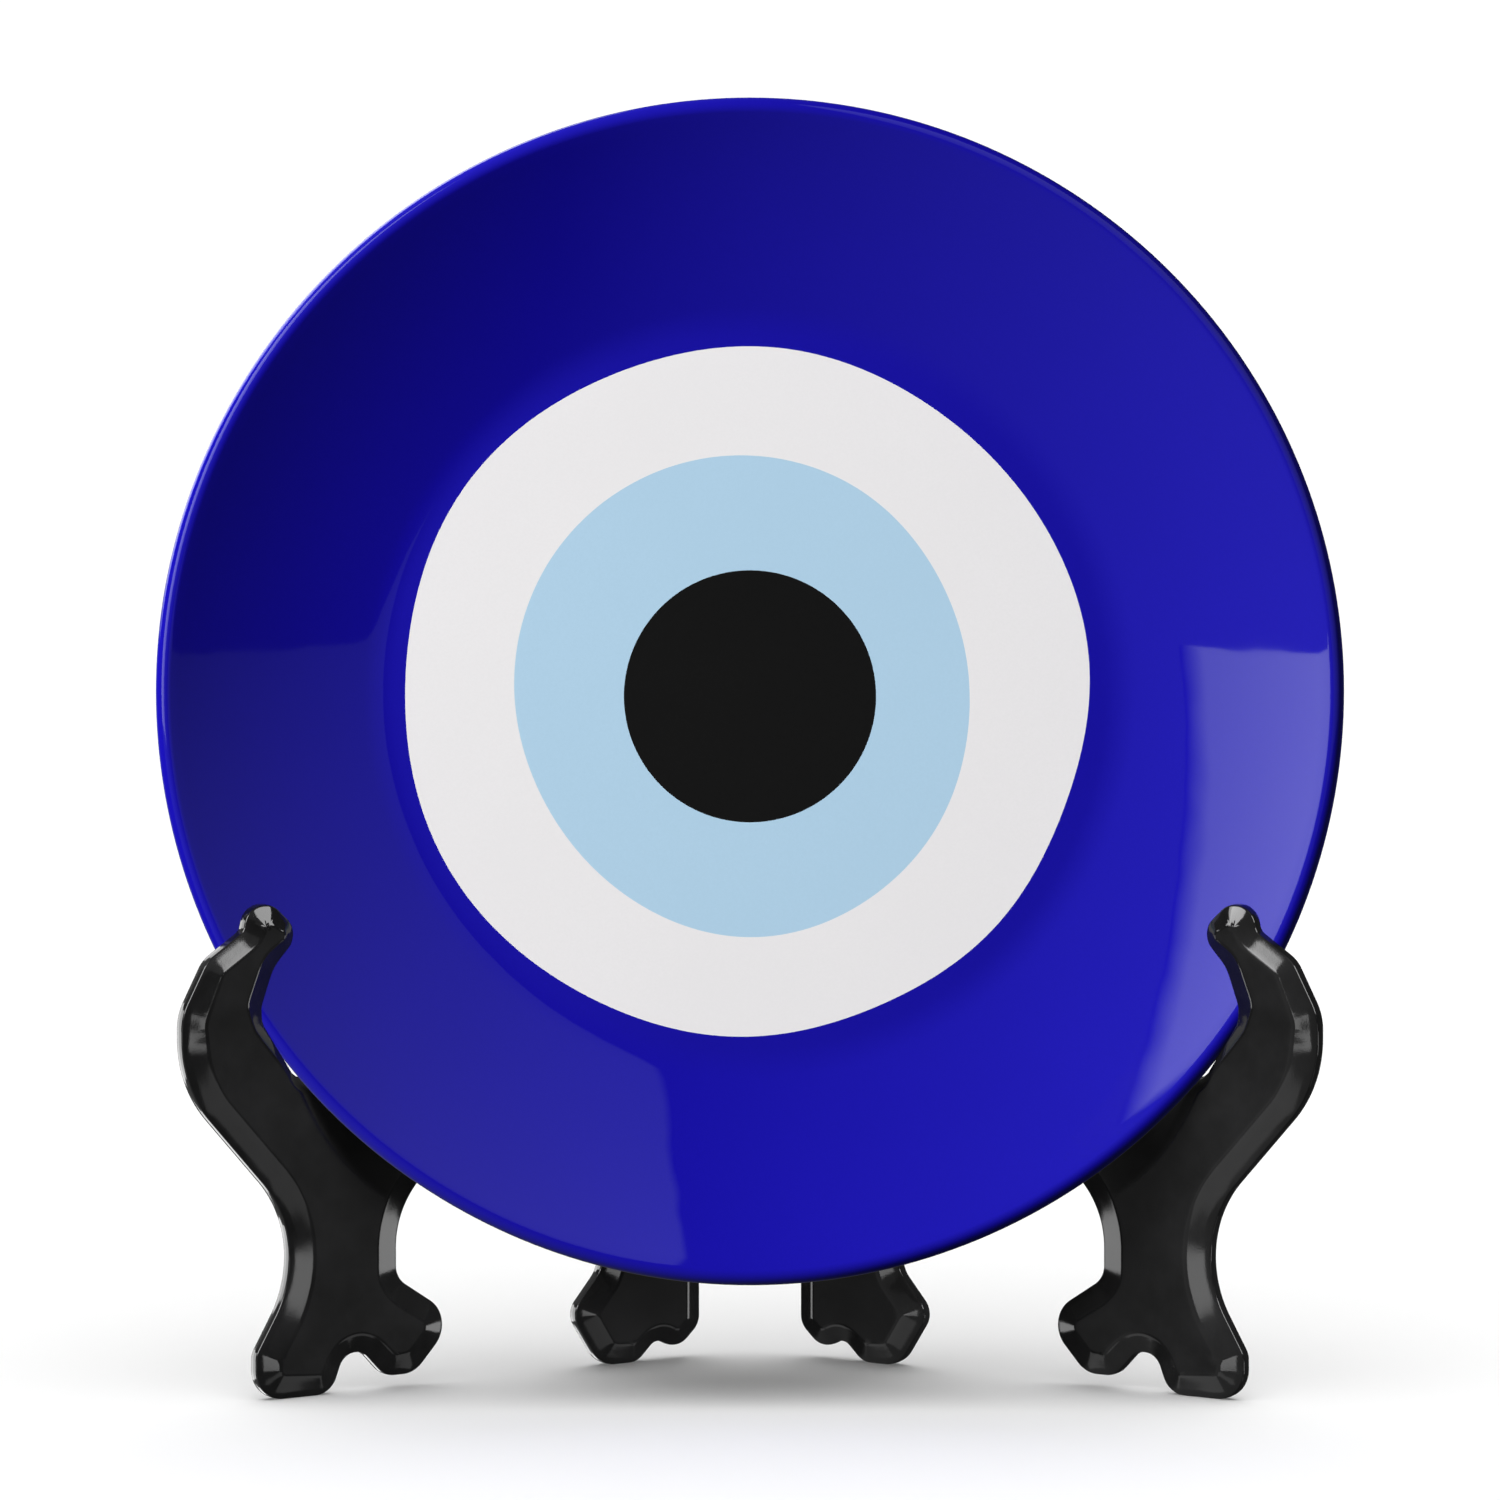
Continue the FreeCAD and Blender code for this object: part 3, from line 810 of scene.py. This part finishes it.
def make_materials(section):
    """All materials, by the name of their slot."""
    return {
        "white_glaze": white_glaze(section),
        "blue_print": printed_glaze("blue_print", (0.0068, 0.0035, 0.36), (0.0060, 0.0032, 0.34)),
        "white_print": printed_glaze("white_print", (0.87, 0.855, 0.862), (0.85, 0.836, 0.842)),
        "light_blue_print": printed_glaze("light_blue_print", (0.455, 0.662, 0.83), (0.44, 0.645, 0.81)),
        "black_print": printed_glaze("black_print", (0.006, 0.006, 0.006), (0.005, 0.005, 0.005)),
        "black_plastic": black_plastic(),
        "rod_steel": rod_steel(),
    }


# ---------------------------------------------------------------- studio

def reflected_card(name, span, height, strengths, soft_edge):
    """Glowing card that only mirror reflections see, on a tilted wall in front of the plate.

    It spans X from left to right. Strengths: left, right, and share at the foot."""
    lean = math.radians(SOFTBOX_TILT)
    foot_y, foot_z = SOFTBOX_FOOT
    half_width, half_height = (span[1] - span[0]) / 2, height / 2
    matrix = Matrix.Rotation(math.radians(90) - lean, 4, "X")
    matrix.translation = Vector((sum(span) / 2, foot_y + half_height * math.sin(lean),
                                 foot_z + half_height * math.cos(lean)))
    corners = [(-half_width, -half_height), (half_width, -half_height),
               (half_width, half_height), (-half_width, half_height)]
    card = new_object(name, [(x / MM, y / MM, 0) for x, y in corners], [(0, 1, 2, 3)])
    card.matrix_world = matrix
    material, tree, _ = new_material(name)
    tree.nodes.clear()
    place = add_node(tree, "ShaderNodeTexCoord").outputs["Object"]
    axes = add_node(tree, "ShaderNodeSeparateXYZ", {"Vector": place})
    left, right, foot = strengths
    across = remap(tree, axes.outputs["X"], -half_width, half_width, left, right)
    climb = remap(tree, axes.outputs["Y"], -half_height, half_height, foot, 1.0)
    level = add_node(tree, "ShaderNodeMath", {0: across, 1: climb}, operation="MULTIPLY").outputs[0]
    from_edge = add_node(tree, "ShaderNodeMath", {0: axes.outputs["X"]}, operation="ABSOLUTE").outputs[0]
    fade = remap(tree, from_edge, half_width, half_width - soft_edge, 0.0, 1.0)
    glow = add_node(tree, "ShaderNodeMath", {0: level, 1: fade}, operation="MULTIPLY").outputs[0]
    emission = add_node(tree, "ShaderNodeEmission", {"Strength": glow})
    add_node(tree, "ShaderNodeOutputMaterial", {"Surface": emission.outputs[0]})
    card.data.materials.append(material)
    for ray in ("camera", "diffuse", "shadow", "transmission", "volume_scatter"):
        setattr(card, "visible_" + ray, False)
    card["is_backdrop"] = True


def area_light(name, matrix, width, height, watts):
    """Soft light that mirror reflections don't see; it shines along its local -Z."""
    data = bpy.data.lights.new(name, "AREA")
    data.shape = "RECTANGLE"
    data.size, data.size_y = width, height
    data.energy = watts
    light = bpy.data.objects.new(name, data)
    light.matrix_world = matrix
    light.visible_glossy = False
    light.visible_camera = False
    bpy.context.scene.collection.objects.link(light)
    return light


def aimed(place, target):
    """Placement at a point, with local -Z towards a target."""
    direction = Vector(target) - Vector(place)
    matrix = direction.to_track_quat("-Z", "Y").to_matrix().to_4x4()
    matrix.translation = Vector(place)
    return matrix


def mirrored_strip(name, strip, receivers):
    """Light that shows only as a reflection in the given objects and fills a patch of directions."""
    start, end, low, high, distance, level = strip
    azimuth, elevation = math.radians((start + end) / 2), math.radians((low + high) / 2)
    direction = Vector((math.sin(azimuth) * math.cos(elevation),
                        -math.cos(azimuth) * math.cos(elevation),
                        math.sin(elevation)))
    width = distance * math.radians(abs(end - start)) * math.cos(elevation)
    height = distance * math.radians(high - low)
    middle = Vector(STAND_MIDDLE)
    watts = level * math.pi * width * height
    light = area_light(name, aimed(middle + direction * distance, middle), width, height, watts)
    light.visible_glossy = True
    light.visible_diffuse = False
    only_lights(light, *receivers)


def new_group(name, items):
    """Collection of objects for light linking."""
    group = bpy.data.collections.new(name)
    for item in items:
        group.objects.link(item)
    return group


def only_lights(light, *receivers):
    """Link a light to the given objects alone."""
    light.light_linking.receiver_collection = new_group(light.name + "_receivers", receivers)


def make_floor():
    """Pale floor: bright to the camera, dim to bounced light, unseen by reflections and lights below."""
    material, tree, shader = new_material("pale_floor")
    shader.inputs["Roughness"].default_value = 0.9
    shader.inputs["Specular IOR Level"].default_value = 0.0
    rays = add_node(tree, "ShaderNodeLightPath")
    seen = mix_colour(tree, rays.outputs["Is Camera Ray"], (0.08, 0.08, 0.08), (0.9, 0.9, 0.9))
    tree.links.new(seen, shader.inputs["Base Color"])
    reach = FLOOR_REACH / MM
    corners = [(-reach, -reach, 0), (reach, -reach, 0), (reach, reach, 0), (-reach, reach, 0)]
    floor = new_object("floor", corners, [(0, 1, 2, 3)], material)
    floor.visible_glossy = False
    floor.visible_shadow = False
    floor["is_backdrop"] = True
    return floor


def make_world():
    """White behind the object, a dim room lighter on the left in reflections, and faint ambient light."""
    world = bpy.data.worlds.new("studio")
    world.use_nodes = True
    tree = world.node_tree
    tree.nodes.clear()
    rays = add_node(tree, "ShaderNodeLightPath")
    direction = add_node(tree, "ShaderNodeTexCoord").outputs["Generated"]
    across = add_node(tree, "ShaderNodeSeparateXYZ", {"Vector": direction}).outputs["X"]
    room = curve(tree, across, -1.0, 1.0, ROOM_LEVELS)
    dim = add_node(tree, "ShaderNodeMix", {
        0: rays.outputs["Is Glossy Ray"], 2: AMBIENT_LEVEL, 3: room,
    }, data_type="FLOAT")
    seen = add_node(tree, "ShaderNodeMix", {
        0: rays.outputs["Is Camera Ray"], 2: dim.outputs[0], 3: 1.0,
    }, data_type="FLOAT")
    background = add_node(tree, "ShaderNodeBackground", {"Strength": seen.outputs[0]})
    add_node(tree, "ShaderNodeOutputWorld", {"Surface": background.outputs[0]})
    bpy.context.scene.world = world


def make_lights(centre, floor):
    """Reflected cards, the lights on the object, the strips its polished parts mirror, and the floor's."""
    reflected_card("window_card", WINDOW_SPAN, WINDOW_HEIGHT, (5.0, 2.4, 0.7), 0.06)
    reflected_card("panel_card", PANEL_SPAN, PANEL_HEIGHT, (0.8, 0.3, 0.25), 0.01)

    shown = [item for item in bpy.context.scene.objects if item.type == "MESH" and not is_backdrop(item)]
    wings = [item for item in shown if item.name.startswith("easel_wing")]
    others = [item for item in shown if item not in wings]
    key_matrix = aimed(centre + Vector(KEY_DIRECTION) * KEY_DISTANCE, centre)
    key = area_light("key", key_matrix, *KEY_SIZE, KEY_WATTS)
    only_lights(key, *shown)
    # the wings throw no shadow of the key light
    key.light_linking.blocker_collection = new_group("key_shadows", others)
    for name, place, target, side, watts, receivers in (
        ("stand_fill", (1.7, -1.75, 0.6), STAND_MIDDLE, 1.0, 75.0, wings),
        ("back_key", (-0.9, 1.3, 1.0), OBJECT_MIDDLE, 0.8, 26.0, shown),
        ("back_fill", (1.2, 1.1, 0.6), OBJECT_MIDDLE, 0.8, 9.0, shown),
    ):
        only_lights(area_light(name, aimed(place, target), side, side, watts), *receivers)
    for index, (start, end, *rest) in enumerate(STAND_STRIPS):
        mirrored_strip("strip_right_%d" % index, (start, end, *rest), wings)
        mirrored_strip("strip_left_%d" % index, (-start, -end, *rest), wings)
    left_wing = [item for item in wings if item.name == "easel_wing_left"]
    for index, strip in enumerate(SIDE_STRIPS):
        mirrored_strip("strip_side_%d" % index, strip, left_wing)
    mirrored_strip("strip_lip", LIP_STRIP, others)
    # no reflection shows the wings
    for wing in wings:
        wing.visible_glossy = False

    # two wide suns light the floor alone; the object's soft shadow takes away only the first one
    for name, energy, shadow in (("floor_sky", 1.6, True), ("floor_fill", 2.1, False)):
        sky = bpy.data.lights.new(name, "SUN")
        sky.energy = energy
        sky.angle = math.radians(SKY_ANGLE)
        sky.use_shadow = shadow
        sky_object = bpy.data.objects.new(name, sky)
        bpy.context.scene.collection.objects.link(sky_object)
        only_lights(sky_object, floor)


def make_camera(centre):
    """Long lens in front of the plate, a little above it, that frames the whole object."""
    elevation = math.radians(CAMERA_ELEVATION)
    back = Vector((0, -math.cos(elevation), math.sin(elevation)))
    up = Vector((0, math.sin(elevation), math.cos(elevation)))
    data = bpy.data.cameras.new("camera")
    data.sensor_width = SENSOR_WIDTH
    data.lens = SENSOR_WIDTH * CAMERA_DISTANCE / FIELD_WIDTH
    data.clip_start, data.clip_end = 0.05, 100.0
    camera = bpy.data.objects.new("camera", data)
    camera.location = centre - up * CAMERA_DROP + back * CAMERA_DISTANCE
    camera.rotation_mode = "QUATERNION"
    camera.rotation_quaternion = (-back).to_track_quat("-Z", "Y")
    bpy.context.scene.collection.objects.link(camera)
    bpy.context.scene.camera = camera


def build_scene():
    """Plate, easel, floor, world, lights and camera."""
    bpy.context.scene.view_settings.view_transform = "Standard"
    matrix, radius = plate_frame()
    section = PlateSection(radius)
    materials = make_materials(section)
    build_plate(matrix, section, materials)
    build_easel(materials)
    floor = make_floor()
    make_world()
    make_lights(matrix.translation, floor)
    make_camera(matrix.translation)


build_scene()
